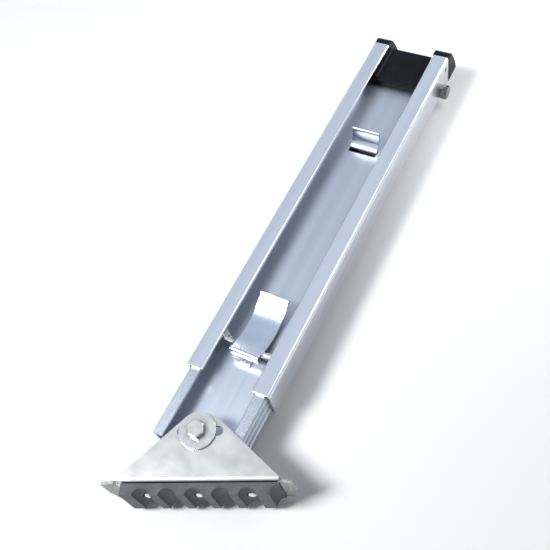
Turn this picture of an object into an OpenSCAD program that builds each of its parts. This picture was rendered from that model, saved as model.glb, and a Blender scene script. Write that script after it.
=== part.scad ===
// Ladder leveller: a leg that slides in a channel bolted to a ladder's rail, with a swivelling foot.
// It lies on its back: X across, Y along the channel towards its cap, Z out of the open front.
// The origin is on the channel's back face, in the middle of the rail bolt pattern.
// Lengths are in millimetres. The modules measure Y from the channel's foot end.

/* [Housing channel] */
// Width over the side walls
chan_w = 82.5; // [76:0.5:100]
// Depth from the back face to the front of the lips
chan_d = 36.5; // [35:0.5:48]
// Length of the channel
chan_l = 406; // [396:1:520]
// Thickness of the web and the side walls
chan_t = 2.6; // [2.2:0.1:3]
// Thickness of the front lips
chan_lip_t = 2.5; // [2.2:0.1:3]
// Width of the open mouth between the lips
chan_mouth = 49; // [46:0.5:52]
// Outside corner radius
chan_corner_r = 3; // [1.5:0.1:3.4]
// Radius on the front edge of the lips' inner sides
chan_lip_r = 2; // [1:0.1:2.1]

/* [Rail bolts] */
// Hole diameter for a rail bolt
rail_hole_d = 8.4; // [6:0.1:9]
// Spacing of the rail holes across the channel
rail_space_x = 44.45; // [40:0.05:48]
// Spacing of the rail holes along the channel, one rung pitch
rail_space_y = 304.8; // [290:0.1:310]

/* [Leg] */
// How far the leg's cap end stands below the channel's cap end
leg_short = 34; // [33:0.5:40]
// How far the leg stands out of the channel at rest
leg_out = 64.5; // [62:0.5:70]
// Thickness of the leg's side walls and web
leg_t = 2.6; // [2.2:0.1:3]
// Thickness of the leg's lips
leg_lip_t = 2.4; // [2:0.1:3]
// How far the leg's front lips stand back from the channel's lips
leg_lip_set = 2.5; // [2.4:0.1:3.5]
// Width of the opening between the leg's rear lips
leg_rear_mouth = 60; // [58:0.5:62]
// Height of the leg's web, at its front face, over the channel's back
leg_web_front = 17; // [16:0.1:18]
// Height of a rib on the side walls
rib_h = 1.2; // [0.6:0.1:1.5]
// Width of a rib at its root
rib_w = 4.5; // [3:0.1:5]
// Spacing of the three ribs
rib_pitch = 9.85; // [8:0.05:10]
// Sliding clearance at the sides, over the ribs
slide_side_gap = 0.45; // [0.3:0.05:0.6]
// Sliding clearance behind the leg
slide_back_gap = 0.5; // [0.3:0.05:0.7]
// Sliding clearance in front of the leg
slide_front_gap = 0.4; // [0.3:0.05:0.6]
// Height of the pivot hole over the leg's bottom end
pivot_up = 15; // [14:0.5:17]

/* [Lift hook] */
// Width of the hook and of the pedal
tab_w = 28.4; // [24:0.1:30]
// Thickness of the hook's sheet
hook_t = 2.4; // [2:0.1:2.6]
// Distance from the leg's cap end down to the bottom edge of the hook's hole
hook_down = 97.2; // [90:0.1:102]
// Length of the hook's hole
hook_hole_l = 9.2; // [9:0.1:10]
// Side clearance of the hook in its hole
hook_side_gap = 0.3; // [0.2:0.05:0.6]
// Height of the hook's tip over the channel's back
hook_top = 36; // [35:0.1:36.5]
// Radius of the hook's hollow front
hook_hollow_r = 18; // [17:0.1:19]
// Length of the base plate behind the web
hook_base_l = 22; // [20:0.5:24]
// Diameter of the hook's rivets
hook_rivet_d = 4.8; // [4:0.1:5.5]
// Spacing of the hook's rivets
hook_rivet_space = 16; // [14:0.5:18]

/* [Stops] */
// Travel of the leg out of the channel
leg_drop = 188; // [180:1:190]
// Thickness of the stop on the leg
leg_stop_h = 6.4; // [5.5:0.1:7]
// Length of each stop along the channel
stop_l = 12; // [10:0.5:13]
// Width of the stop in the channel
stop_w = 26; // [22:0.5:30]
// Height of the stop in the channel
stop_h = 8.6; // [8:0.1:9]
// Diameter of the stop's rivets
stop_rivet_d = 4.8; // [4:0.1:5.5]
// Spacing of the stop's rivets
stop_rivet_space = 14; // [12:0.5:16]

/* [Pedal] */
// Thickness of the pedal's sheet
pedal_t = 2; // [1.8:0.1:2.2]
// Radius of the pedal's hollow top
pedal_r = 48; // [47:0.5:50]
// Place of the lowest point of the hollow
pedal_low_y = 59.3; // [58.5:0.1:60]
// Height of the lowest point over the web
pedal_low = 6; // [5.8:0.1:6.5]
// Where the nose bend starts
nose_y = 31; // [30.5:0.1:31.5]
// Outer radius of the nose bend
nose_r = 2.3; // [2.3:0.1:2.8]
// Height of the nose's lower edge over the web
nose_low = 7.6; // [7:0.1:8]
// Where the free end's curl starts
pedal_end_y = 88; // [86:0.5:89]
// Outer radius of the curl at the free end
curl_r = 3; // [2.8:0.1:3.5]
// Width of the lock plate
lock_w = 48; // [46:0.1:48.2]
// Thickness of the lock plate
lock_t = 2.6; // [2.2:0.1:2.7]
// Place of the lock plate's front face
lock_y = 35; // [34.7:0.1:35.2]
// Height of the lock plate's shoulders over the web
lock_high = 13; // [12.5:0.1:13.4]
// Gap between the lock plate's edge and the web at rest
lock_gap = 0.3; // [0.25:0.05:0.5]
// Width of the leaf spring
leaf_w = 10.6; // [9:0.1:11]
// Thickness of the leaf spring
leaf_t = 0.8; // [0.6:0.05:0.9]
// Place of the leaf spring's free end
leaf_y = 23; // [22:0.1:24]
// Diameter of the pedal's pin
pin_d = 4; // [3:0.1:4.2]
// Gap between the lock plate and the pin
pin_back = 0.3; // [0.2:0.1:1]
// Height of the pin over the web
pin_up = 3.6; // [3.5:0.1:3.8]
// Thickness of a cheek that carries the pin
cheek_t = 2; // [1.6:0.1:2.1]
// Length of a cheek
cheek_l = 8; // [7.5:0.5:12]
// Diameter of a pin clip
clip_d = 6.4; // [6:0.1:6.6]
// Thickness of a pin clip
clip_t = 0.9; // [0.6:0.1:1.2]

/* [Foot] */
// How far the foot is turned at rest, in degrees
foot_turn = 24.9; // [0:0.1:30]
// How far the bolt stands off the slot's middle at rest
bolt_off = 2; // [0:0.5:6]
// Gap between the leg's back and the rear ear
ear_back_gap = 3; // [2.5:0.1:3.4]
// Thickness of the bracket's sheet
foot_t = 2.5; // [2.2:0.1:2.7]
// Gap between the leg and the front ear
ear_gap = 0.6; // [0.4:0.05:0.8]
// Height of the ears' tops over the slot's middle
ear_top = 15.4; // [15:0.1:17]
// Radius at the ears' tops
ear_r = 15; // [14:0.1:16]
// Width of the flat top between the ears' rounds
ear_flat = 8; // [6:0.1:10]
// Width of the ears at the bend
ear_w = 133.6; // [130:0.1:136]
// Slope of the ears' sides, in degrees
ear_slope = 43.2; // [42:0.1:44]
// Depth of the sole plate's underside below the slot's middle
sole_down = 42.5; // [42:0.1:45]
// Outside radius of the bend between an ear and the sole plate
foot_bend_r = 4.8; // [4:0.1:5]
// Width over the spur ends
spur_w = 160; // [156:0.5:170]
// Drop of the spur ends, in degrees
spur_drop = 4; // [2:0.5:6]
// Number of teeth on a spur end
spur_teeth = 5; // [3:1:6]
// Depth of the teeth
tooth_h = 1.5; // [1:0.1:2]
// Length of the slot
slot_l = 38.8; // [34:0.1:42]
// Width of the slot
slot_w = 8.4; // [8.2:0.1:9]

/* [Pad] */
// Width of the pad
pad_w = 122.3; // [118:0.1:126]
// Height of the pad
pad_h = 9.7; // [9:0.1:12]
// How far the pad stands past the rear ear
pad_back = 0.5; // [0.2:0.1:1]
// How far the pad's middle stands off the slot's middle
pad_off = -1; // [-2:0.1:0]
// Number of arches
arch_n = 5; // [3:1:5]
// Spacing of the arches
arch_pitch = 21.7; // [20.5:0.1:22]
// Width of an arch
arch_w = 14.8; // [13:0.1:16]
// Height of an arch
arch_h = 6; // [5:0.1:6.5]
// Diameter of a pad rivet
pad_rivet_d = 4.8; // [4:0.1:5.5]
// Head diameter of a pad rivet
pad_head_d = 8.6; // [8:0.1:9]
// Head height of a pad rivet
pad_head_h = 2.2; // [1.8:0.1:2.6]

/* [Pivot] */
// Diameter of the pivot bolt and the cross bolt
bolt_d = 7.94; // [7.5:0.02:8]
// Width across the flats of their heads
hex_af = 12.7; // [12:0.1:14]
// Height of a bolt head
head_h = 5.6; // [5:0.1:7]
// Height of a nut
nut_h = 5.2; // [4.5:0.1:6]
// Running clearance of the bolt in the leg, on the radius
bolt_fit = 0.08; // [0.03:0.01:0.1]
// Diameter of the front washer
fender_d = 31.75; // [28:0.05:32]
// Thickness of the front washer
fender_t = 2; // [1.5:0.1:2.6]
// Diameter of the rear washer
rear_washer_d = 22; // [18:0.5:24]
// Thickness of the rear washer
rear_washer_t = 1.6; // [1.2:0.1:2]
// Outside diameter of the spacer tubes
spacer_d = 14; // [12:0.5:18]
// Gap at each end of the spacers and beside each ear
run_gap = 0.1; // [0.06:0.02:0.15]

/* [Cap and cross bolt] */
// How far the cap stands out past the channel
cap_out = 23.5; // [20:0.5:28]
// Wall of the cap
cap_t = 2.5; // [2:0.1:3]
// How far the saddle reaches down the channel
saddle_l = 40; // [38:0.5:42]
// Depth of the saddle below the front of the lips
saddle_low = 10.2; // [9:0.1:10.5]
// Height of the saddle's front face
saddle_face = 7; // [5:0.1:7.5]
// Radius of the fillets along the saddle's sides
saddle_r = 4.5; // [3:0.1:5]
// How far the saddle's rim lies below the cap's end
rim_down = 18.5; // [17:0.1:19]
// How far the wall between the horns lies below the cap's end, at the back
waist_down = 6; // [4:0.1:8]
// Place of the cross bolt below the channel's cap end
cross_down = 19; // [17:0.1:22]
// Height of the cross bolt over the back face
cross_up = 7; // [6.8:0.1:7.4]
// Diameter of the cross bolt's washers
cross_washer_d = 13.6; // [12:0.1:13.8]
// Thickness of the cross bolt's washers
cross_washer_t = 1.6; // [1.2:0.1:2]
// Diameter of the snap pegs
peg_d = 4.2; // [3.5:0.1:5]
// Place of the pegs below the channel's cap end
peg_down = 7; // [6:0.1:8]
// Depth of the pegs below the front of the lips
peg_low = 10.3; // [9:0.1:11]

/* [Hidden] */
$fn = 48;

// Housing channel
chan_half = chan_w / 2;
wall_in = chan_half - chan_t;
lip_back = chan_d - chan_lip_t;
mouth_half = chan_mouth / 2;

// Leg
leg_end = chan_l - leg_short;
leg_half = wall_in - slide_side_gap;
leg_wall_out = leg_half - rib_h;
leg_wall_in = leg_wall_out - leg_t;
leg_back = chan_t + slide_back_gap;
leg_front = lip_back - slide_front_gap;
leg_mid = (leg_back + leg_front) / 2;
leg_mouth_half = mouth_half + leg_lip_set;
leg_web_back = leg_web_front - leg_t;
leg_corner_r = 1.2;
rib_taper = 0.6;

// Lift hook: the sheet's outer face turns up out of the hole, sweeps into the hollow and leans back
hook_bend_in = 1;
hook_bend_out = hook_bend_in + hook_t;
hook_hole_y = leg_end - hook_down;
hook_turn_y = hook_hole_y + hook_hole_l - hook_bend_in - 0.2;
hook_turn_z = leg_web_back + hook_bend_in;
hook_rise = 36;
hook_steep = 85;
hook_lean = 34;
hook_lean_r = 3.5;
hook_end_y = hook_turn_y + hook_base_l;
hook_rivet_y = hook_turn_y + hook_base_l / 2;

// Stops
stop_run = 0.5;
leg_stop_y = hook_rivet_y - stop_l / 2;
housing_stop_y = leg_stop_y - leg_drop - stop_run - stop_l;

// Pedal
web = leg_web_front;
pedal_mid = web + pedal_low + pedal_r;
nose_angle = acos((pedal_low_y - nose_y) / pedal_r);
end_angle = asin((pedal_end_y - pedal_low_y) / pedal_r);
curl_turn = 32;
nose_cy = nose_y - nose_r * cos(nose_angle);
nose_cz = pedal_mid - pedal_r * sin(nose_angle) - nose_r * sin(nose_angle);
pin_y = lock_y + lock_t + pin_back + pin_d / 2;
pin_z = web + pin_up;
lock_ear_t = 2.5;
lock_ear_h = 6;
lock_ear_l = 3;
lock_ear_cut = 1.6;
lock_under = 0.3;
lock_half = lock_w / 2;
cheek_x = mouth_half + 0.1;
cheek_z = web + 0.5;
cheek_y = pin_y - cheek_l / 2 + 0.5;
cheek_cut = 1;
pin_fit = 0.05;
clip_gap = 0.1;

// Foot, in its own frame: X along the foot, Y towards the ears' tops, Z as the leg's
pivot_y = pivot_up - leg_out;
front_ear_z = leg_front + ear_gap;
foot_front = front_ear_z + foot_t;
rear_ear_z = leg_back - ear_back_gap;
foot_back = rear_ear_z - foot_t;
sole_in = sole_down - foot_t;
spur_root = ear_w / 2;
spur_run = spur_w / 2 - spur_root;
spur_cut_z = 11;
spur_cut_x = 3.5;
slot_end = slot_l / 2 - slot_w / 2;

// Pad
pad_rivet_z = (foot_back + foot_front) / 2;
pad_heel_r = 7;
pad_heel_lip = 1.2;
roof_down = sole_down + pad_h - arch_h;
head_fit = 0.2;

// Pivot stack
front_stack = foot_front + run_gap;
rear_stack = foot_back - run_gap;
bolt_tail = 2;
head_chamfer = 0.9;

// Cap and cross bolt
cap_end = chan_l + cap_out;
cross_y = chan_l - cross_down;
cross_fit = 0.13;
cap_fit = 0.2;
plug_half = wall_in - cap_fit;
plug_back = chan_t + cap_fit;
plug_front = lip_back - cap_fit;
saddle_y = chan_l - saddle_l;
saddle_z = chan_d - saddle_low;
saddle_wall_t = 1.8;
saddle_fit = 0.6;
saddle_edge_r = 1.8;
rim_y = cap_end - rim_down;
rim_r = 2.2;
waist_y = cap_end - waist_down;
plug_gap = 4;
plug_y = leg_end + plug_gap;

function arc(y, z, r, from, to, n = 8) =
    [for (i = [0:n]) [y + r * cos(from + (to - from) * i / n), z + r * sin(from + (to - from) * i / n)]];

function unit(v) = v / norm(v);

// The same path without repeated points
function joined(p) = [for (i = [0:len(p) - 1]) if (i == 0 || norm(p[i] - p[max(i - 1, 0)]) > 0.01) p[i]];

function heading(p, i) = unit(p[min(i + 1, len(p) - 1)] - p[max(i - 1, 0)]);

// Closed outline of a sheet: its face follows p and the sheet lies t to the right of it
function sheet(p, t) = concat(p, [for (i = [len(p) - 1:-1:0])
    p[i] + t * [heading(p, i)[1], -heading(p, i)[0]]]);

// Closed outline from its right half
function both_sides(p) = concat(p, [for (i = [len(p) - 1:-1:0]) [-p[i][0], p[i][1]]]);

// Stands the lengths that are measured from the channel's foot end in the part's frame
module placed() {
    translate([0, -chan_l / 2, 0]) children();
}

// Extrudes an X, Z outline from y0 to y1
module along(y0, y1) {
    translate([0, y1, 0]) rotate([90, 0, 0]) linear_extrude(y1 - y0) children();
}

// Extrudes a Y, Z outline from x0 to x1
module across(x0, x1) {
    translate([x0, 0, 0]) rotate([90, 0, 90]) linear_extrude(x1 - x0) children();
}

// Extrudes an X, Y outline from z0 to z1
module upward(z0, z1) {
    translate([0, 0, z0]) linear_extrude(z1 - z0) children();
}

// Ring from z0 to z1
module ring(d, bore, z0, z1) {
    upward(z0, z1) difference() {
        circle(d = d);
        circle(d = bore);
    }
}

// Hexagonal prism from z0 up, with its upper corners turned off
module hex_head(af, h, z0) {
    r = af / 2 / cos(30);
    translate([0, 0, z0]) intersection() {
        cylinder(r = r, h = h, $fn = 6);
        rotate_extrude() polygon([
            [0, 0], [r + 0.1, 0], [r + 0.1, h - head_chamfer], [af / 2 - 0.3, h], [0, h]
        ]);
    }
}

// Stands along X, pointing to the right
module crosswise(y, z) {
    translate([0, y, z]) rotate([0, 90, 0]) children();
}

// Stands in the foot's frame at rest
module on_foot() {
    translate([0, pivot_y, 0]) rotate([0, 0, foot_turn]) translate([bolt_off, 0, 0]) children();
}

// Points down through the sole at each pad rivet, from the slot's level, in the foot's frame
module at_pad_rivets() {
    for (i = [0:2:arch_n - 1])
        translate([pad_off + (i - (arch_n - 1) / 2) * arch_pitch, 0, pad_rivet_z])
            rotate([90, 0, 0]) children();
}

module outer_channel() {
    half = concat(
        arc(chan_half - chan_corner_r, chan_corner_r, chan_corner_r, -90, 0),
        arc(chan_half - chan_corner_r, chan_d - chan_corner_r, chan_corner_r, 0, 90),
        arc(mouth_half + chan_lip_r, chan_d - chan_lip_r, chan_lip_r, 90, 180),
        [[mouth_half, lip_back], [wall_in, lip_back], [wall_in, chan_t]]
    );
    color("#c8ccd4") difference() {
        along(0, chan_l) polygon(both_sides(half));
        for (sx = [-1, 1], sy = [-1, 1])
            translate([sx * rail_space_x / 2, chan_l / 2 + sy * rail_space_y / 2, -1])
                cylinder(d = rail_hole_d, h = chan_t + 2);
        for (s = [-1, 1]) {
            translate([s * stop_rivet_space / 2, housing_stop_y + stop_l / 2, -1])
                cylinder(d = stop_rivet_d, h = chan_t + 2);
            crosswise(cross_y, cross_up) translate([0, 0, s * chan_half])
                cylinder(d = bolt_d + 2 * cross_fit, h = 3 * chan_t, center = true);
            crosswise(chan_l - peg_down, chan_d - peg_low) translate([0, 0, s * chan_half])
                cylinder(d = peg_d + 2 * cap_fit, h = 3 * chan_t, center = true);
        }
    }
}

module top_cap() {
    // Side outline of a horn, as shares of its reach and of the channel's depth
    side = [for (q = [
        [0, 0], [1, 0], [0.983, 0.1], [0.864, 0.36], [0.66, 0.64], [0.498, 0.83],
        [0.417, 0.92], [0.353, 0.965], [0.277, 0.99], [0.2, 1], [0, 1]
    ]) [chan_l + q[0] * cap_out, q[1] * chan_d]];
    body = concat(
        arc(chan_half - chan_corner_r, chan_corner_r, chan_corner_r, -90, 0),
        arc(chan_half - chan_corner_r, chan_d - chan_corner_r, chan_corner_r, 0, 90)
    );
    saddle_under = saddle_z - cap_t;
    wall = mouth_half + saddle_wall_t;
    color("#26282d") difference() {
        union() {
            for (s = [0, 1]) mirror([s, 0, 0]) {
                // Horn over the end of the side wall and the lip
                intersection() {
                    across(mouth_half, chan_half) polygon(side);
                    along(chan_l, cap_end) polygon(both_sides(body));
                }
                // Cheek inside the wall, with its snap peg
                across(plug_half - cap_t, plug_half) polygon([
                    [plug_y, plug_front - saddle_low], [plug_y + 12, plug_back], [chan_l + 2, plug_back],
                    [chan_l + 2, plug_front], [plug_y, plug_front]
                ]);
                crosswise(chan_l - peg_down, chan_d - peg_low) translate([0, 0, plug_half - cap_t])
                    cylinder(d = peg_d, h = cap_t + cap_fit + chan_t - 0.3);
                // Side of the saddle under the lip, with its fillet
                along(saddle_y + saddle_edge_r, rim_y) polygon(concat(
                    [[wall, saddle_under + 0.5], [wall, plug_front], [mouth_half, plug_front]],
                    arc(mouth_half - saddle_r, saddle_z + saddle_r, saddle_r, 0, -90),
                    [[mouth_half - saddle_r, saddle_under + 0.5]]
                ));
            }
            // Saddle inside the channel, with its front face
            across(-plug_half + 0.5, plug_half - 0.5) polygon(concat(
                arc(saddle_y + saddle_edge_r, saddle_z - saddle_edge_r, saddle_edge_r, 180, 90, 4),
                [[chan_l, saddle_z], [chan_l, saddle_under], [saddle_y + cap_t, saddle_under],
                [saddle_y + cap_t, saddle_z - saddle_face], [saddle_y, saddle_z - saddle_face]]
            ));
            // Saddle, end wall and back wall between the horns
            across(-mouth_half - 0.5, mouth_half + 0.5) polygon(concat(
                [[chan_l - 0.5, saddle_z]],
                arc(rim_y, saddle_z - rim_r, rim_r, 90, 20, 4),
                [[waist_y, 3], [waist_y, 0], [chan_l, 0], [chan_l, chan_t], [waist_y - cap_t, chan_t],
                [waist_y - cap_t, 3.5], [rim_y - 0.3, saddle_under], [chan_l - 0.5, saddle_under]]
            ));
        }
        // Room for the leg's side walls beside the saddle's nose
        for (s = [0, 1]) mirror([s, 0, 0])
            across(leg_wall_in - saddle_fit, chan_half)
                polygon([[saddle_y - 1, 0], [plug_y, 0], [plug_y, chan_d], [saddle_y - 1, chan_d]]);
        // Clearance for the cross bolt
        crosswise(cross_y, cross_up)
            cylinder(d = bolt_d + 4 * cross_fit, h = chan_w, center = true);
        // Hollow of each horn
        for (s = [0, 1]) mirror([s, 0, 0])
            across(mouth_half + cap_t, chan_half - cap_t) polygon([
                [chan_l - 1, cap_t], [cap_end - cap_t - 1, cap_t], [cap_end - 13, 0.66 * chan_d],
                [cap_end - 17.5, chan_d - cap_t - 2], [chan_l - 1, chan_d - cap_t - 2]
            ]);
    }
}

module cross_bolt() {
    reach = chan_half + cross_washer_t;
    color("#c9cbce") crosswise(cross_y, cross_up) {
        translate([0, 0, -reach - nut_h - bolt_tail])
            cylinder(d = bolt_d, h = 2 * reach + nut_h + bolt_tail + 1);
        hex_head(hex_af, head_h, reach);
    }
}

module cross_bolt_washers() {
    color("#b9bcc0") crosswise(cross_y, cross_up) for (z = [-chan_half - cross_washer_t, chan_half])
        ring(cross_washer_d, bolt_d + 2 * cross_fit, z, z + cross_washer_t);
}

module cross_bolt_nut() {
    color("#b9bcc0") crosswise(cross_y, cross_up) difference() {
        mirror([0, 0, 1]) hex_head(hex_af, nut_h, chan_half + cross_washer_t);
        translate([0, 0, -chan_w]) cylinder(d = bolt_d, h = chan_w);
    }
}

module lock_cheeks() {
    color("#c3c6ca") for (s = [0, 1]) mirror([s, 0, 0]) difference() {
        across(cheek_x, cheek_x + cheek_t) polygon([
            [cheek_y + cheek_cut, cheek_z], [cheek_y + cheek_l - cheek_cut, cheek_z],
            [cheek_y + cheek_l, cheek_z + cheek_cut], [cheek_y + cheek_l, lip_back],
            [cheek_y, lip_back], [cheek_y, cheek_z + cheek_cut]
        ]);
        crosswise(pin_y, pin_z) cylinder(d = pin_d + 2 * pin_fit, h = chan_half);
    }
}

module pedal_pin() {
    pin_half = cheek_x + cheek_t + clip_gap + clip_t + 1;
    color("#d6d8da") crosswise(pin_y, pin_z) cylinder(d = pin_d, h = 2 * pin_half, center = true);
}

module pin_clips() {
    inner = cheek_x + cheek_t + clip_gap;
    color("#8e9195") crosswise(pin_y, pin_z) for (z = [-inner - clip_t, inner])
        ring(clip_d, pin_d, z, z + clip_t);
}

module housing_stop() {
    color("#b4b8bd") translate([0, housing_stop_y, 0]) difference() {
        translate([-stop_w / 2, 0, chan_t]) cube([stop_w, stop_l, stop_h]);
        for (s = [-1, 1]) translate([s * stop_rivet_space / 2, stop_l / 2, 0])
            cylinder(d = stop_rivet_d, h = 2 * stop_h);
    }
}

module housing_stop_rivets() {
    color("#c9ccd0") for (s = [-1, 1])
        translate([s * stop_rivet_space / 2, housing_stop_y + stop_l / 2, 0])
            cylinder(d = stop_rivet_d, h = chan_t + stop_h);
}

module leg_channel() {
    rib_half = rib_w / 2;
    ribs = [for (k = [-1, 0, 1]) for (p = [
        [leg_wall_out, -rib_half], [leg_half, -rib_half + rib_taper],
        [leg_half, rib_half - rib_taper], [leg_wall_out, rib_half]
    ]) [p[0], leg_mid + k * rib_pitch + p[1]]];
    half = concat(
        [[leg_wall_in, leg_web_back], [leg_wall_in, leg_back + leg_lip_t],
        [leg_rear_mouth / 2, leg_back + leg_lip_t], [leg_rear_mouth / 2, leg_back]],
        arc(leg_wall_out - leg_corner_r, leg_back + leg_corner_r, leg_corner_r, -90, 0, 4),
        ribs,
        arc(leg_wall_out - leg_corner_r, leg_front - leg_corner_r, leg_corner_r, 0, 90, 4),
        arc(leg_mouth_half + leg_corner_r, leg_front - leg_corner_r, leg_corner_r, 90, 180, 4),
        [[leg_mouth_half, leg_front - leg_lip_t], [leg_wall_in, leg_front - leg_lip_t],
        [leg_wall_in, leg_web_front]]
    );
    color("#bfc4cc") difference() {
        along(-leg_out, leg_end) polygon(both_sides(half));
        translate([0, pivot_y, 0]) cylinder(d = bolt_d + 2 * bolt_fit, h = chan_d);
        translate([-tab_w / 2 - hook_side_gap, hook_hole_y, leg_web_back - 1])
            cube([tab_w + 2 * hook_side_gap, hook_hole_l, leg_t + 2]);
        for (s = [-1, 1]) translate([s * hook_rivet_space / 2, hook_rivet_y, leg_web_back - 1])
            cylinder(d = hook_rivet_d, h = leg_t + 2);
    }
}

module lift_hook() {
    hollow_start = [
        hook_turn_y + hook_bend_out * cos(90 + hook_rise), hook_turn_z + hook_bend_out * sin(90 + hook_rise)
    ];
    hollow_y = hollow_start[0] + hook_hollow_r * cos(90 + hook_rise);
    hollow_z = hollow_start[1] + hook_hollow_r * sin(90 + hook_rise);
    steep_end = [hollow_y + hook_hollow_r * sin(hook_steep), hollow_z - hook_hollow_r * cos(hook_steep)];
    lean_rise = hook_lean_r * (cos(hook_lean) - cos(hook_steep));
    straight = hook_top - lean_rise - steep_end[1];
    lean_start = steep_end + straight / sin(hook_steep) * [cos(hook_steep), sin(hook_steep)];
    lean_y = lean_start[0] + hook_lean_r * sin(hook_steep);
    lean_z = lean_start[1] - hook_lean_r * cos(hook_steep);
    face = joined(concat(
        [[hook_end_y, hook_turn_z - hook_bend_out]],
        arc(hook_turn_y, hook_turn_z, hook_bend_out, 270, 90 + hook_rise),
        arc(hollow_y, hollow_z, hook_hollow_r, hook_rise - 90, hook_steep - 90),
        arc(lean_y, lean_z, hook_lean_r, 90 + hook_steep, 90 + hook_lean, 4)
    ));
    color("#dfe5ea") difference() {
        across(-tab_w / 2, tab_w / 2) polygon(sheet(face, hook_t));
        for (s = [-1, 1]) translate([s * hook_rivet_space / 2, hook_rivet_y, 0])
            cylinder(d = hook_rivet_d, h = leg_web_front);
    }
}

module leg_stop() {
    top = leg_web_back - hook_t;
    color("#b4b8bd") difference() {
        translate([-tab_w / 2, leg_stop_y, top - leg_stop_h]) cube([tab_w, stop_l, leg_stop_h]);
        for (s = [-1, 1]) translate([s * hook_rivet_space / 2, hook_rivet_y, 0])
            cylinder(d = hook_rivet_d, h = leg_web_front);
    }
}

module hook_rivets() {
    low = leg_web_back - hook_t - leg_stop_h;
    color("#c9ccd0") for (s = [-1, 1]) translate([s * hook_rivet_space / 2, hook_rivet_y, low])
        cylinder(d = hook_rivet_d, h = leg_web_front - low);
}

module pedal() {
    curl_y = pedal_low_y + (pedal_r + curl_r) * sin(end_angle);
    curl_z = pedal_mid - (pedal_r + curl_r) * cos(end_angle);
    face = joined(concat(
        [[nose_cy - nose_r, web + nose_low]],
        arc(nose_cy, nose_cz, nose_r, 180, nose_angle, 6),
        arc(pedal_low_y, pedal_mid, pedal_r, 180 + nose_angle, 270 + end_angle, 18),
        arc(curl_y, curl_z, curl_r, 90 + end_angle, 90 + end_angle - curl_turn, 4)
    ));
    color("#dfe5ea") across(-tab_w / 2, tab_w / 2) polygon(sheet(face, pedal_t));
}

module lock_plate() {
    foot_z = web + lock_gap;
    shoulder_x = tab_w / 2 + 0.8;
    under_r = pedal_r + pedal_t;
    under_run = pedal_low_y - lock_y - lock_t;
    under_nose = pedal_mid - sqrt(pow(under_r, 2) - pow(under_run, 2)) - lock_under;
    notch_x = leaf_w / 2 + 0.5;
    notch_z = web + lock_gap + 2 * leaf_t + 0.3;
    color("#ccd1d6") difference() {
        union() {
            along(lock_y, lock_y + lock_t) polygon(both_sides([
                [notch_x, notch_z], [notch_x, foot_z], [lock_half, foot_z], [lock_half, web + lock_high],
                [shoulder_x, web + lock_high], [shoulder_x, under_nose]
            ]));
            for (s = [0, 1]) mirror([s, 0, 0]) across(lock_half - lock_ear_t, lock_half) polygon([
                [lock_y, foot_z + 0.5], [pin_y + lock_ear_l - lock_ear_cut, foot_z + 0.5],
                [pin_y + lock_ear_l, foot_z + 0.5 + lock_ear_cut],
                [pin_y + lock_ear_l, foot_z + lock_ear_h - lock_ear_cut],
                [pin_y + lock_ear_l - lock_ear_cut, foot_z + lock_ear_h], [lock_y, foot_z + lock_ear_h]
            ]);
        }
        crosswise(pin_y, pin_z) cylinder(d = pin_d + 2 * pin_fit, h = chan_w, center = true);
    }
}

module leaf_spring() {
    top_z = web + lock_gap + leaf_t + 0.1;
    touch_r = pedal_r + pedal_t + 0.05;
    touch_from = -8;
    touch_to = 10;
    face = concat(
        [[leaf_y, top_z], [pin_y, top_z]],
        arc(pedal_low_y, pedal_mid, touch_r, 270 + touch_from, 270 + touch_to, 6)
    );
    color("#c6ccd2") across(-leaf_w / 2, leaf_w / 2) polygon(sheet(face, leaf_t));
}

module pivot_bolt() {
    top = front_stack + fender_t;
    tail = rear_stack - rear_washer_t - nut_h - bolt_tail;
    color("#e3e5e6") translate([0, pivot_y, 0]) {
        translate([0, 0, tail]) cylinder(d = bolt_d, h = top + 1 - tail);
        hex_head(hex_af, head_h, top);
    }
}

module front_washer() {
    color("#d9dcde") translate([0, pivot_y, 0])
        ring(fender_d, bolt_d + 2 * cross_fit, front_stack, front_stack + fender_t);
}

module front_spacer() {
    color("#c3c6ca") translate([0, pivot_y, 0])
        ring(spacer_d, bolt_d + 2 * bolt_fit, leg_web_front + run_gap, front_ear_z - run_gap);
}

module rear_spacer() {
    color("#c3c6ca") translate([0, pivot_y, 0])
        ring(spacer_d, bolt_d + 2 * bolt_fit, rear_ear_z + run_gap, leg_web_back - run_gap);
}

module rear_washer() {
    color("#d9dcde") translate([0, pivot_y, 0])
        ring(rear_washer_d, bolt_d + 2 * cross_fit, rear_stack - rear_washer_t, rear_stack);
}

module pivot_nut() {
    color("#d0d3d6") translate([0, pivot_y, 0]) difference() {
        mirror([0, 0, 1]) hex_head(hex_af, nut_h, rear_washer_t - rear_stack);
        translate([0, 0, rear_stack - chan_d]) cylinder(d = bolt_d, h = chan_d);
    }
}

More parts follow.
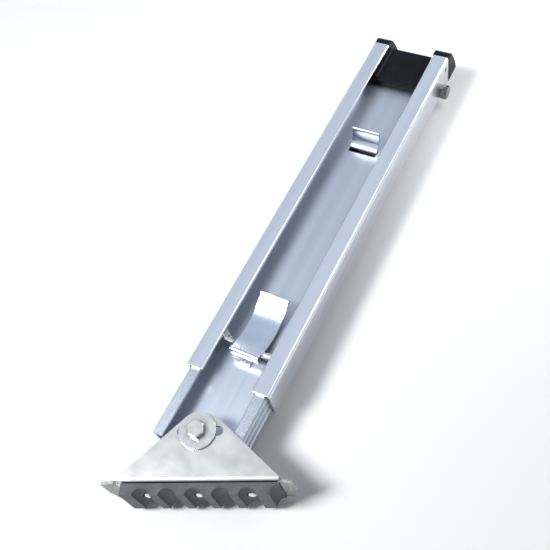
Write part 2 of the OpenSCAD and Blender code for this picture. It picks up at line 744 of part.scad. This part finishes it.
module foot_bracket() {
    bend_in = foot_bend_r - foot_t;
    bend_v = foot_bend_r - sole_down;
    half_ear = ear_w / 2;
    ear_half = concat(
        [[half_ear, -sole_down - 1], [half_ear, bend_v]],
        arc(ear_flat / 2, ear_top - ear_r, ear_r, 90 - ear_slope, 90)
    );
    // Outline of the bent sheet across the leg, as Z and Y of the foot's frame
    outer = concat(
        [[foot_back, ear_top + 1]],
        arc(foot_back + foot_bend_r, bend_v, foot_bend_r, 180, 270),
        arc(foot_front - foot_bend_r, bend_v, foot_bend_r, 270, 360),
        [[foot_front, ear_top + 1]]
    );
    inner = concat(
        [[rear_ear_z, ear_top + 2]],
        arc(rear_ear_z + bend_in, bend_v, bend_in, 180, 270),
        arc(front_ear_z - bend_in, bend_v, bend_in, 270, 360),
        [[front_ear_z, ear_top + 2]]
    );
    tooth = (foot_front - spur_cut_z) / spur_teeth;
    spur = concat(
        [[foot_back, -1], [foot_back, spur_run - spur_cut_x]],
        [for (i = [0:spur_teeth - 1]) each [
            [spur_cut_z + i * tooth, spur_run - tooth_h], [spur_cut_z + (i + 0.5) * tooth, spur_run]
        ]],
        [[foot_front, spur_run - tooth_h], [foot_front, 2], [foot_front - 2, -1]]
    );
    color("#d5d9d8") on_foot() {
        difference() {
            intersection() {
                across(-half_ear, half_ear) difference() {
                    polygon([for (p = outer) [p[1], p[0]]]);
                    polygon([for (p = inner) [p[1], p[0]]]);
                }
                upward(foot_back - 1, foot_front + 1) polygon(both_sides(ear_half));
            }
            upward(foot_back - 1, foot_front + 1) {
                for (s = [-1, 1]) translate([s * slot_end, 0]) circle(d = slot_w);
                square([2 * slot_end, slot_w], center = true);
            }
            at_pad_rivets() translate([0, 0, sole_in - 1]) cylinder(d = pad_rivet_d, h = foot_t + 2);
        }
        for (s = [0, 1]) mirror([s, 0, 0])
            translate([spur_root, -sole_in, 0]) rotate([0, 0, -spur_drop]) translate([0, -foot_t, 0])
                rotate([-90, -90, 0]) linear_extrude(foot_t) polygon(spur);
    }
}

module foot_pad() {
    half = pad_w / 2;
    floor_v = -sole_down - pad_h;
    heel_u = half + pad_heel_r;
    outline = concat(
        [[-half, -sole_down], [-half, floor_v], [half, floor_v]],
        arc(heel_u, floor_v + pad_h - pad_heel_lip - pad_heel_r, pad_heel_r, 180, 90, 6),
        [[heel_u, -sole_down]]
    );
    back = foot_back - pad_back;
    color("#4a4c50") on_foot() difference() {
        translate([pad_off, 0, 0]) upward(back, foot_front) polygon(outline);
        for (i = [0:arch_n - 1]) {
            u = pad_off + (i - (arch_n - 1) / 2) * arch_pitch;
            upward(back - 1, foot_front + 1) polygon(concat(
                [[u + arch_w / 2 + 0.6, floor_v - 1], [u + arch_w / 2, floor_v]],
                [for (a = [15:15:165]) [u + arch_w / 2 * cos(a), floor_v + arch_h * sin(a)]],
                [[u - arch_w / 2, floor_v], [u - arch_w / 2 - 0.6, floor_v - 1]]
            ));
        }
        at_pad_rivets() {
            cylinder(d = pad_rivet_d, h = sole_down + pad_h);
            translate([0, 0, roof_down]) cylinder(d = pad_head_d + 2 * head_fit, h = pad_h);
        }
    }
}

module pad_rivets() {
    dome_r = pad_head_d * 0.7;
    color("#e0e3e4") on_foot() at_pad_rivets() {
        translate([0, 0, sole_in]) cylinder(d = pad_rivet_d, h = roof_down - sole_in + 0.5);
        translate([0, 0, roof_down]) intersection() {
            cylinder(d = pad_head_d, h = pad_head_h);
            translate([0, 0, pad_head_h - dome_r]) sphere(r = dome_r);
        }
    }
}

placed() outer_channel();
placed() top_cap();
placed() cross_bolt();
placed() cross_bolt_washers();
placed() cross_bolt_nut();
placed() lock_cheeks();
placed() pedal_pin();
placed() pin_clips();
placed() housing_stop();
placed() housing_stop_rivets();
placed() leg_channel();
placed() lift_hook();
placed() leg_stop();
placed() hook_rivets();
placed() pedal();
placed() lock_plate();
placed() leaf_spring();
placed() pivot_bolt();
placed() front_washer();
placed() front_spacer();
placed() rear_spacer();
placed() rear_washer();
placed() pivot_nut();
placed() foot_bracket();
placed() foot_pad();
placed() pad_rivets();
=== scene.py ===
"""Ladder leveller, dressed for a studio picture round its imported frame.

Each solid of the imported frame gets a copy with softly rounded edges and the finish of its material, and
a studio with a pale floor, soft lamps and the photograph's camera stands round it. The frame's axes are
X across the channel, Y along it towards the cap, Z out of the open front. The pieces' lengths are given
in millimetres and turned to metres by mm(); the studio's are in metres, and say so.
"""
from __future__ import annotations

import logging
import math
from dataclasses import dataclass, field
from enum import Enum
from typing import Any

import bmesh
import bpy
from mathutils import Matrix, Vector


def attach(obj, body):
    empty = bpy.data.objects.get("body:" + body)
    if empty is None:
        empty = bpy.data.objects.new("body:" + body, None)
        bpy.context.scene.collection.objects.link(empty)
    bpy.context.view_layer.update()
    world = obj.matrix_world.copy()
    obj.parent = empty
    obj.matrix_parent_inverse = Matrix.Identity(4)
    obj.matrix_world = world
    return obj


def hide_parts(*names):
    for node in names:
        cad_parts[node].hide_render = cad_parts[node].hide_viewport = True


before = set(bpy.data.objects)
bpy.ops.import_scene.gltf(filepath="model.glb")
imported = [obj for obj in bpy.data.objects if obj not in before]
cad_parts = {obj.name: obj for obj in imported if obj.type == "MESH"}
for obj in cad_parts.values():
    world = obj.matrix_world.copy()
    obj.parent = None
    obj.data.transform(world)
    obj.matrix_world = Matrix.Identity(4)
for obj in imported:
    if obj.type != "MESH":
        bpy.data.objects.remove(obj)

LOG = logging.getLogger("leveller")
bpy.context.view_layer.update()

# Edges that turn by more than this are rounded; flatter ones are facets of a curve and are smoothed.
SHARP_ANGLE = math.radians(28)
# Faces that turn by less than this are one flat face, split by the packer.
FLAT_ANGLE = math.radians(0.5)
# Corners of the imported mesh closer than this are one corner, in metres.
MERGE_REACH = 2e-6
# How near a corner may lie to a cutting plane and be taken as on it, in metres.
CUT_REACH = 1e-7

# The part of a noise's range that the tone, and the gloss, are spread over.
TONE_RANGE = (0.35, 0.65)
GLOSS_RANGE = (0.3, 0.7)
# Roughness of the noises: how much the finer layers count.
NOISE_ROUGHNESS = 0.55
# Openness of a point, from a full crevice to none, over which the painted crevice shade is spread, and
# # the rays that measure it.
CREVICE_RANGE = (0.4, 0.95)
CREVICE_RAYS = 8


class Body(Enum):
    """The moving bodies of the row."""

    HOUSING = "housing"
    LEG = "leg"
    PEDAL = "pedal_lever"
    PIVOT = "pivot"
    FOOT = "foot"


class Slot(Enum):
    """The record's material slots."""

    ALUMINIUM = "extruded_aluminium"
    SHEET = "zinc_sheet"
    HARDWARE = "zinc_hardware"
    SPRING = "spring_steel"
    PLASTIC = "cap_plastic"
    RUBBER = "pad_rubber"


def mm(length: float) -> float:
    """Turn millimetres to metres.

    Args:
        length: a length in millimetres.

    Returns:
        The length in metres.
    """
    return length / 1000.0


def linear(colour: str) -> tuple[float, float, float, float]:
    """Turn an sRGB hex colour to the linear value that a shader socket takes.

    Args:
        colour: six hex digits with a leading hash.

    Returns:
        Red, green, blue and an alpha of 1.
    """
    parts = [int(colour[i:i + 2], 16) / 255.0 for i in (1, 3, 5)]
    flat = [c / 12.92 if c <= 0.04045 else ((c + 0.055) / 1.055) ** 2.4 for c in parts]
    return (flat[0], flat[1], flat[2], 1.0)


def add_object(name: str, data: bpy.types.ID) -> bpy.types.Object:
    """Put an object in the scene.

    Args:
        name: the object's name.
        data: its mesh, lamp or camera.

    Returns:
        The new object.
    """
    made = bpy.data.objects.new(name, data)
    bpy.context.scene.collection.objects.link(made)
    return made


def empty_tree(owner: bpy.types.Material | bpy.types.World) -> bpy.types.NodeTree:
    """Give a material or a world a node tree with nothing in it.

    Args:
        owner: the material or world.

    Returns:
        Its empty tree.
    """
    owner.use_nodes = True
    owner.node_tree.nodes.clear()
    return owner.node_tree


def add_node(tree: bpy.types.NodeTree, kind: str, inputs: dict[Any, Any] | None = None,
             **settings: Any) -> bpy.types.Node:
    """Add a node with its settings and links.

    Args:
        tree: the node tree.
        kind: the node's type name.
        inputs: values or output sockets, by input name or number.
        settings: attributes of the node.

    Returns:
        The new node.
    """
    node = tree.nodes.new(kind)
    for key, value in settings.items():
        setattr(node, key, value)
    for key, value in (inputs or {}).items():
        socket = node.inputs[key]
        if isinstance(value, bpy.types.NodeSocket):
            tree.links.new(value, socket)
        else:
            socket.default_value = value
    return node


def seen_directly(tree: bpy.types.NodeTree) -> bpy.types.NodeSocket:
    """Tell what is looked at from what gives light.

    Args:
        tree: the node tree.

    Returns:
        A socket that is 1 for the camera, for mirrors and for glass, and 0 for spread light.
    """
    path = add_node(tree, "ShaderNodeLightPath")
    mirrored = add_node(tree, "ShaderNodeMath", {
        0: path.outputs["Is Camera Ray"], 1: path.outputs["Is Glossy Ray"]}, operation="MAXIMUM")
    seen = add_node(tree, "ShaderNodeMath", {
        0: mirrored.outputs["Value"], 1: path.outputs["Is Transmission Ray"]}, operation="MAXIMUM")
    return seen.outputs["Value"]


@dataclass(frozen=True)
class Grain:
    """A stretched noise: its spacing on each axis in millimetres, and how many layers of detail."""

    spacing: tuple[float, float, float]
    detail: float

    def build(self, tree: bpy.types.NodeTree) -> bpy.types.NodeSocket:
        """Add the noise to a tree.

        Args:
            tree: the material's tree.

        Returns:
            The socket with the noise's height, about 0.5 on average.
        """
        place = add_node(tree, "ShaderNodeTexCoord")
        scale = tuple(1.0 / mm(length) for length in self.spacing)
        laid = add_node(tree, "ShaderNodeMapping", {"Vector": place.outputs["Object"], "Scale": scale})
        noise = add_node(tree, "ShaderNodeTexNoise", {
            "Vector": laid.outputs["Vector"], "Scale": 1.0, "Detail": self.detail,
            "Roughness": NOISE_ROUGHNESS})
        return noise.outputs["Fac"]


@dataclass(frozen=True)
class Finish:
    """A real material and the way its surface was made.

    The tone grain moves the colour between shade and base, the gloss grain moves the roughness by
    gloss_spread on both sides, and the relief grain gives the bump of relief_depth millimetres. A
    painted crevice shade takes the share crevice off the colour where another surface stands within
    crevice_reach millimetres, darkening corners and joints where shade falls. The metals leave ior and
    specular at the shader's own values.
    """

    name: str
    base: str
    shade: str
    metallic: float
    roughness: float
    tone: Grain
    gloss: Grain
    gloss_spread: float
    relief: Grain
    relief_depth: float
    ior: float | None = None
    specular: float | None = None
    crevice: float = 0.35
    crevice_reach: float = 2.5

    def material(self) -> bpy.types.Material:
        """Build the material, or hand back the one already built.

        Returns:
            The material of that name.
        """
        known = bpy.data.materials.get(self.name)
        if known:
            return known
        made = bpy.data.materials.new(self.name)
        tree = empty_tree(made)
        share = add_node(tree, "ShaderNodeMapRange", {
            "Value": self.tone.build(tree), "From Min": TONE_RANGE[0], "From Max": TONE_RANGE[1]})
        # Sockets of the colour mix by number, since its names repeat: 6 and 7 are A and B, output 2 is
        # the result.
        unshaded_colour = add_node(tree, "ShaderNodeMix", {
            0: share.outputs["Result"], 6: linear(self.shade), 7: linear(self.base)}, data_type="RGBA")
        # Painted shade: the colour is darkened by the share crevice where another surface stands within
        # crevice_reach, as where shade falls in corners and joints.
        nearby = add_node(tree, "ShaderNodeAmbientOcclusion", {"Distance": mm(self.crevice_reach)},
                          samples=CREVICE_RAYS)
        painted_crevice_shade = add_node(tree, "ShaderNodeMapRange", {
            "Value": nearby.outputs["AO"], "From Min": CREVICE_RANGE[0], "From Max": CREVICE_RANGE[1],
            "To Min": 1.0 - self.crevice, "To Max": 1.0})
        colour = add_node(tree, "ShaderNodeVectorMath", {
            0: unshaded_colour.outputs[2], "Scale": painted_crevice_shade.outputs["Result"]}, operation="SCALE")
        rough = add_node(tree, "ShaderNodeMapRange", {
            "Value": self.gloss.build(tree), "From Min": GLOSS_RANGE[0], "From Max": GLOSS_RANGE[1],
            "To Min": self.roughness - self.gloss_spread, "To Max": self.roughness + self.gloss_spread})
        relief = add_node(tree, "ShaderNodeBump", {
            "Height": self.relief.build(tree), "Strength": 1.0, "Distance": mm(self.relief_depth)})
        shader = add_node(tree, "ShaderNodeBsdfPrincipled", {
            "Base Color": colour.outputs["Vector"], "Metallic": self.metallic,
            "Roughness": rough.outputs["Result"], "Normal": relief.outputs["Normal"]})
        if self.ior is not None:
            shader.inputs["IOR"].default_value = self.ior
        if self.specular is not None:
            shader.inputs["Specular IOR Level"].default_value = self.specular
        add_node(tree, "ShaderNodeOutputMaterial", {"Surface": shader.outputs["BSDF"]})
        return made


# Aluminium pushed through a die: satin, with faint straight lines along the channel. The lines are a
# tenth of a millimetre apart in life and drawn at 0.7 mm, so that they show.
EXTRUDED_ALUMINIUM = Finish(
    "extruded_aluminium_mill", "#e8ebf0", "#dde1e7", 1.0, 0.22,
    tone=Grain((14.0, 420.0, 14.0), 1.0), gloss=Grain((2.5, 300.0, 2.5), 2.0), gloss_spread=0.03,
    relief=Grain((0.7, 260.0, 0.7), 1.0), relief_depth=0.004)

# The same alloy from a second die, a shade darker and duller, since the leg is rubbed by the channel it
# slides in: its lines lie along the stroke, and the light spreads wide in its trough.
RUBBED_ALUMINIUM = Finish(
    "extruded_aluminium_rubbed", "#c6ccd6", "#bcc3cd", 1.0, 0.44,
    tone=Grain((12.0, 380.0, 12.0), 1.0), gloss=Grain((3.0, 240.0, 3.0), 2.0), gloss_spread=0.03,
    relief=Grain((1.6, 300.0, 1.6), 1.0), relief_depth=0.003)

# The leg's lips, where the channel's lips have scraped along them: a little greyer, with short fine
# scratches and specks of half a millimetre, drawn at 0.9 mm and longer along the stroke.
GALLED_ALUMINIUM = Finish(
    "extruded_aluminium_galled", "#c8cdd6", "#b0b6c0", 1.0, 0.38,
    tone=Grain((0.9, 2.4, 0.9), 3.0), gloss=Grain((2.0, 8.0, 2.0), 2.0), gloss_spread=0.04,
    relief=Grain((0.9, 3.0, 0.9), 2.0), relief_depth=0.004)

# Steel sheet, sheared, bent and bright zinc plated: a soft gloss with cloudy patches a few centimetres
# wide, and the fine grain of the rolled sheet under the plating.
ZINC_SHEET = Finish(
    "zinc_plated_steel_sheet", "#dedcd4", "#d2d1ca", 1.0, 0.30,
    tone=Grain((46.0, 16.0, 34.0), 2.0), gloss=Grain((18.0, 18.0, 18.0), 2.0), gloss_spread=0.04,
    relief=Grain((9.0, 9.0, 9.0), 1.0), relief_depth=0.003)

# The same sheet where the ground has worn it: the spurs have lost their shine and are pitted and grey.
WORN_ZINC_SHEET = Finish(
    "zinc_plated_steel_sheet_worn", "#a9aca9", "#7d807e", 1.0, 0.46,
    tone=Grain((3.0, 3.0, 3.0), 4.0), gloss=Grain((2.0, 2.0, 2.0), 3.0), gloss_spread=0.10,
    relief=Grain((1.8, 1.8, 1.8), 2.0), relief_depth=0.03, crevice=0.5)

# The same sheet with a clear blue passivation, as on the pedal and the hook: smoother, with a cool cast
# and a mirror-like sweep of light along each bend.
BLUE_ZINC_SHEET = Finish(
    "blue_passivated_zinc_sheet", "#d4dbe4", "#c8d0dc", 1.0, 0.20,
    tone=Grain((30.0, 16.0, 30.0), 2.0), gloss=Grain((9.0, 9.0, 9.0), 2.0), gloss_spread=0.03,
    relief=Grain((2.0, 2.0, 2.0), 1.0), relief_depth=0.002)

# Cold formed and zinc plated bolts, nuts, washers and rivets: brighter than the sheet, with soft dents
# # from the tumbling barrel, and a strong painted shade darkening the joints where head, washer and sheet
# meet.
ZINC_HARDWARE = Finish(
    "zinc_plated_cold_formed_steel", "#f3f2ec", "#e4e4df", 1.0, 0.22,
    tone=Grain((8.0, 8.0, 8.0), 3.0), gloss=Grain((5.0, 5.0, 5.0), 2.0), gloss_spread=0.03,
    relief=Grain((8.0, 8.0, 8.0), 1.0), relief_depth=0.003, crevice=0.8, crevice_reach=6.0)

# The cross bolt, its washers and nut: the same plating with a painted shade, darkened all over to stand
# # for the dark surroundings it mirrors; spotted, with small glints where it is smoother.
PAINTED_SHADE_HARDWARE = Finish(
    "zinc_plated_cold_formed_steel_painted_shade", "#8d9093", "#5f6164", 1.0, 0.20,
    tone=Grain((3.0, 3.0, 3.0), 4.0), gloss=Grain((2.0, 2.0, 2.0), 3.0), gloss_spread=0.08,
    relief=Grain((2.5, 2.5, 2.5), 2.0), relief_depth=0.02, crevice=0.7)

# Rolled spring steel strip, plated: a little darker and streaked along the strip.
SPRING_STRIP = Finish(
    "plated_spring_steel_strip", "#e2e4e6", "#cdd1d5", 1.0, 0.28,
    tone=Grain((3.0, 24.0, 3.0), 3.0), gloss=Grain((1.5, 12.0, 1.5), 2.0), gloss_spread=0.05,
    relief=Grain((0.6, 9.0, 0.6), 2.0), relief_depth=0.01)

# Black polypropylene from a textured mould: satin, with a fine pebble of 0.2 mm, drawn at 0.8 mm. Its
# specular level is low, so that the sides stay as dark as the photograph shows them.
MOULDED_PLASTIC = Finish(
    "moulded_black_polypropylene", "#1b1d22", "#16181c", 0.0, 0.38,
    tone=Grain((18.0, 18.0, 18.0), 3.0), gloss=Grain((3.0, 3.0, 3.0), 3.0), gloss_spread=0.06,
    relief=Grain((0.8, 0.8, 0.8), 2.0), relief_depth=0.01, ior=1.4, specular=0.08)

# Moulded rubber, grey-black and matt, dusty from its mould: small pits and pale scuffs, and a strong
# # painted shade, deepest inside the arches.
MOULDED_RUBBER = Finish(
    "moulded_grey_rubber", "#626367", "#4c4e52", 0.0, 0.62,
    tone=Grain((9.0, 9.0, 9.0), 5.0), gloss=Grain((2.0, 2.0, 2.0), 3.0), gloss_spread=0.08,
    relief=Grain((0.9, 0.9, 0.9), 4.0), relief_depth=0.05, ior=1.52, crevice=0.93, crevice_reach=15.0)


@dataclass(frozen=True)
class Worn:
    """The two far sides of a piece that wear has given another finish.

    They lie further than reach from middle, to both sides along axis; lengths in millimetres.
    """

    finish: Finish
    middle: tuple[float, float, float]
    axis: tuple[float, float, float]
    reach: float

    def mark(self, shape: bmesh.types.BMesh) -> None:
        """Cut the mesh where the wear begins and give both sides the second material.

        Args:
            shape: the mesh being built, in metres.
        """
        middle = Vector([mm(length) for length in self.middle])
        axis = Vector(self.axis).normalized()
        reach = mm(self.reach)
        for side in (-1.0, 1.0):
            parts = shape.verts[:] + shape.edges[:] + shape.faces[:]
            bmesh.ops.bisect_plane(shape, geom=parts, dist=CUT_REACH, plane_no=axis,
                                   plane_co=middle + axis * (side * reach))
        for face in shape.faces:
            if abs((face.calc_center_median() - middle).dot(axis)) > reach:
                face.material_index = 1


@dataclass(frozen=True)
class Softened:
    """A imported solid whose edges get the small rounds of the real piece.

    edge is the round's width in millimetres, and segments the number of flats it is drawn with.
    """

    node: str
    finish: Finish
    slot: Slot
    edge: float
    segments: int = 2
    worn: Worn | None = None

    def build(self, body: Body) -> bpy.types.Object:
        """Copy the node's mesh, round its edges and dress it.

        Args:
            body: the body it rides on.

        Returns:
            The new piece.
        """
        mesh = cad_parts[self.node].data.copy()
        piece = add_object(f"{self.node}_finished", mesh)
        shape = bmesh.new()
        shape.from_mesh(mesh)
        bmesh.ops.remove_doubles(shape, verts=shape.verts, dist=MERGE_REACH)
        bmesh.ops.dissolve_limit(shape, angle_limit=FLAT_ANGLE, use_dissolve_boundaries=False,
                                 verts=shape.verts, edges=shape.edges)
        for face in shape.faces:
            face.smooth = True
        for edge in shape.edges:
            edge.smooth = edge.calc_face_angle(0.0) < SHARP_ANGLE
        # The materials go on before the shape is written back, since clearing them later would set
        # every face to the first one.
        mesh.materials.clear()
        mesh.materials.append(self.finish.material())
        if self.worn:
            mesh.materials.append(self.worn.finish.material())
            self.worn.mark(shape)
        shape.to_mesh(mesh)
        shape.free()
        rounding = piece.modifiers.new("rounded_edges", "BEVEL")
        rounding.width = mm(self.edge)
        rounding.segments = self.segments
        rounding.limit_method = "ANGLE"
        rounding.angle_limit = SHARP_ANGLE
        rounding.miter_outer = "MITER_ARC"
        flat = piece.modifiers.new("flat_faces", "WEIGHTED_NORMAL")
        flat.keep_sharp = False
        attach(piece, body.value)
        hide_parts(self.node)
        LOG.info("%s on %s", piece.name, body.value)
        return piece


@dataclass
class SubAssembly:
    """Pieces that ride together on one body."""

    body: Body
    softened: list[Softened] = field(default_factory=list)

    def build(self) -> list[bpy.types.Object]:
        """Build every piece.

        Returns:
            The new pieces.
        """
        return [item.build(self.body) for item in self.softened]


@dataclass
class Housing(SubAssembly):
    """The outer channel with its cap, cross bolt, lock cheeks and stop."""

    body: Body = Body.HOUSING
    softened: list[Softened] = field(default_factory=lambda: [
        Softened("outer_channel", EXTRUDED_ALUMINIUM, Slot.ALUMINIUM, 0.35),
        Softened("top_cap", MOULDED_PLASTIC, Slot.PLASTIC, 0.8, 3),
        # The cross bolt, its washers and nut take the darker zinc with painted shade.
        Softened("cross_bolt", PAINTED_SHADE_HARDWARE, Slot.HARDWARE, 0.3),
        Softened("cross_bolt_washers", PAINTED_SHADE_HARDWARE, Slot.HARDWARE, 0.25),
        Softened("cross_bolt_nut", PAINTED_SHADE_HARDWARE, Slot.HARDWARE, 0.3),
        Softened("lock_cheeks", ZINC_SHEET, Slot.SHEET, 0.25),
        Softened("pedal_pin", ZINC_HARDWARE, Slot.HARDWARE, 0.4),
        Softened("pin_clips", SPRING_STRIP, Slot.SPRING, 0.15),
        Softened("housing_stop", EXTRUDED_ALUMINIUM, Slot.ALUMINIUM, 0.3),
        Softened("housing_stop_rivets", ZINC_HARDWARE, Slot.HARDWARE, 0.2),
    ])


@dataclass
class Leg(SubAssembly):
    """The sliding leg with its lift hook and stop."""

    body: Body = Body.LEG
    softened: list[Softened] = field(default_factory=lambda: [
        Softened("leg_channel", RUBBED_ALUMINIUM, Slot.ALUMINIUM, 0.3, worn=Worn(
            GALLED_ALUMINIUM, (0.0, 0.0, 18.35), (0.0, 0.0, 1.0), 14.55)),
        Softened("lift_hook", BLUE_ZINC_SHEET, Slot.SHEET, 0.45, 3),
        Softened("leg_stop", EXTRUDED_ALUMINIUM, Slot.ALUMINIUM, 0.3),
        Softened("hook_rivets", ZINC_HARDWARE, Slot.HARDWARE, 0.2),
    ])


@dataclass
class PedalLever(SubAssembly):
    """The pressed pedal with its lock plate and leaf spring."""

    body: Body = Body.PEDAL
    softened: list[Softened] = field(default_factory=lambda: [
        Softened("pedal", BLUE_ZINC_SHEET, Slot.SHEET, 0.45, 3),
        Softened("lock_plate", ZINC_SHEET, Slot.SHEET, 0.25),
        Softened("leaf_spring", SPRING_STRIP, Slot.SPRING, 0.15),
    ])


@dataclass
class Pivot(SubAssembly):
    """The pivot bolt with its washers, spacers and nut."""

    body: Body = Body.PIVOT
    softened: list[Softened] = field(default_factory=lambda: [
        Softened(node, ZINC_HARDWARE, Slot.HARDWARE, 0.3) for node in (
            "pivot_bolt", "front_washer", "front_spacer", "rear_spacer", "rear_washer", "pivot_nut")
    ])


@dataclass
class Foot(SubAssembly):
    """The swivelling foot: bent bracket, arched pad and its rivets."""

    body: Body = Body.FOOT
    softened: list[Softened] = field(default_factory=lambda: [
        Softened("foot_bracket", ZINC_SHEET, Slot.SHEET, 0.35, worn=Worn(
            WORN_ZINC_SHEET, (1.8, -251.6, 18.0), (0.907044, 0.421036, 0.0), 66.5)),
        Softened("foot_pad", MOULDED_RUBBER, Slot.RUBBER, 0.7, 3),
        Softened("pad_rivets", ZINC_HARDWARE, Slot.HARDWARE, 0.25),
    ])


@dataclass(frozen=True)
class SoftLamp:
    """A rectangular soft lamp that looks at a point.

    Lengths are in metres, power in watts and spread in degrees; 180 lights all that lies before it.
    """

    name: str
    place: tuple[float, float, float]
    look_at: tuple[float, float, float]
    width: float
    height: float
    power: float
    spread: float = 180.0

    def build(self) -> None:
        """Hang the lamp, out of the camera's sight."""
        data = bpy.data.lights.new(self.name, "AREA")
        data.shape = "RECTANGLE"
        data.size, data.size_y = self.width, self.height
        data.energy = self.power
        data.spread = math.radians(self.spread)
        lamp = add_object(self.name, data)
        lamp.location = self.place
        lamp.visible_camera = False
        away = Vector(self.place) - Vector(self.look_at)
        lamp.rotation_euler = away.to_track_quat("Z", "Y").to_euler()


@dataclass
class Studio:
    """Pale floor, soft lamps, pale surround and the camera; lengths in metres, the lens in millimetres.

    The surround goes from its low to its high colour over surround_rise, a share of the world's height.
    The floor goes from paper to the surround's low colour over floor_fade, a reach from the middle.
    """

    floor_z: float = -0.0115
    floor_half: float = 6.0
    floor_colour: str = "#fcfcfc"
    floor_fade: tuple[float, float] = (0.6, 1.8)
    surround_low: str = "#e3e6eb"
    surround_high: str = "#d3ddec"
    surround_rise: tuple[float, float] = (0.05, 0.65)
    surround_power: float = 0.2
    eye: tuple[float, float, float] = (0.25155, -0.37339, 0.62783)
    eye_right: tuple[float, float, float] = (0.875216, 0.451789, -0.172872)
    eye_up: tuple[float, float, float] = (-0.311730, 0.800035, 0.512610)
    lens: float = 51.0165
    sensor_width: float = 36.0
    clip: tuple[float, float] = (0.01, 50.0)
    lamps: list[SoftLamp] = field(default_factory=lambda: [
        SoftLamp("key_lamp", (-0.72, -0.88, 1.51), (0.0, -0.02, 0.0), 0.55, 0.55, 33.0),
        SoftLamp("right_lamp", (0.62, 0.66, 1.38), (0.0, 0.35, 0.0), 0.6, 0.6, 0.6, 50.0),
        SoftLamp("cap_end_lamp", (0.25, 0.56, 0.22), (0.06, 0.36, 0.0), 0.16, 0.16, 1.5),
    ])

    def build_floor(self) -> None:
        """Lay a plain pale floor that keeps the object's shadow and fades into the surround.

        From below it is clear, so that the back of the object can be looked at.
        """
        shape = bmesh.new()
        half = self.floor_half
        corners = [shape.verts.new((x, y, self.floor_z))
                   for x, y in ((-half, -half), (half, -half), (half, half), (-half, half))]
        shape.faces.new(corners)
        mesh = bpy.data.meshes.new("studio_floor")
        shape.to_mesh(mesh)
        shape.free()
        floor = add_object("studio_floor", mesh)
        made = bpy.data.materials.new("studio_floor_paper")
        tree = empty_tree(made)
        paper = add_node(tree, "ShaderNodeBsdfDiffuse", {"Color": linear(self.floor_colour)})
        far = add_node(tree, "ShaderNodeEmission", {"Color": linear(self.surround_low), "Strength": 1.0})
        place = add_node(tree, "ShaderNodeTexCoord")
        reach = add_node(tree, "ShaderNodeVectorMath", {0: place.outputs["Object"]}, operation="LENGTH")
        fade = add_node(tree, "ShaderNodeMapRange", {
            "Value": reach.outputs["Value"], "From Min": self.floor_fade[0],
            "From Max": self.floor_fade[1], "To Max": seen_directly(tree)})
        top = add_node(tree, "ShaderNodeMixShader", {
            0: fade.outputs["Result"], 1: paper.outputs["BSDF"], 2: far.outputs["Emission"]})
        side = add_node(tree, "ShaderNodeNewGeometry")
        clear = add_node(tree, "ShaderNodeBsdfTransparent")
        both = add_node(tree, "ShaderNodeMixShader", {
            0: side.outputs["Backfacing"], 1: top.outputs["Shader"], 2: clear.outputs["BSDF"]})
        add_node(tree, "ShaderNodeOutputMaterial", {"Surface": both.outputs["Shader"]})
        mesh.materials.append(made)

    def build_surround(self) -> None:
        """Give the world a pale surround.

        The camera and the metals see it at full strength, and it lights the rest with surround_power.
        """
        world = bpy.data.worlds.new("studio_surround")
        bpy.context.scene.world = world
        tree = empty_tree(world)
        power = add_node(tree, "ShaderNodeMapRange", {
            "Value": seen_directly(tree), "To Min": self.surround_power, "To Max": 1.0})
        place = add_node(tree, "ShaderNodeTexCoord")
        side = add_node(tree, "ShaderNodeSeparateXYZ", {"Vector": place.outputs["Generated"]})
        high = add_node(tree, "ShaderNodeMapRange", {
            "Value": side.outputs["Z"], "From Min": self.surround_rise[0],
            "From Max": self.surround_rise[1]})
        colour = add_node(tree, "ShaderNodeMix", {
            0: high.outputs["Result"], 6: linear(self.surround_low), 7: linear(self.surround_high)},
            data_type="RGBA")
        ground = add_node(tree, "ShaderNodeBackground", {
            "Color": colour.outputs[2], "Strength": power.outputs["Result"]})
        add_node(tree, "ShaderNodeOutputWorld", {"Surface": ground.outputs["Background"]})

    def build_camera(self) -> None:
        """Stand the camera where the photograph was taken from."""
        data = bpy.data.cameras.new("studio_camera")
        data.lens = self.lens
        data.sensor_width = self.sensor_width
        data.clip_start, data.clip_end = self.clip
        camera = add_object("studio_camera", data)
        right, up = Vector(self.eye_right).normalized(), Vector(self.eye_up).normalized()
        back = right.cross(up)
        turn = Matrix((right, up, back)).transposed().to_4x4()
        camera.matrix_world = Matrix.Translation(self.eye) @ turn
        bpy.context.scene.camera = camera

    def build(self) -> None:
        """Set up the floor, the surround, the camera and the lamps."""
        bpy.context.scene.view_settings.view_transform = "Standard"
        self.build_floor()
        self.build_surround()
        self.build_camera()
        for lamp in self.lamps:
            lamp.build()


def main() -> None:
    """Build the sub-assemblies and the studio in order."""
    logging.basicConfig(level=logging.INFO, format="%(name)s: %(message)s")
    for assembly in (Housing(), Leg(), PedalLever(), Pivot(), Foot()):
        pieces = assembly.build()
        LOG.info("%s: %d pieces", type(assembly).__name__, len(pieces))
    Studio().build()


if __name__ == "__main__":
    main()
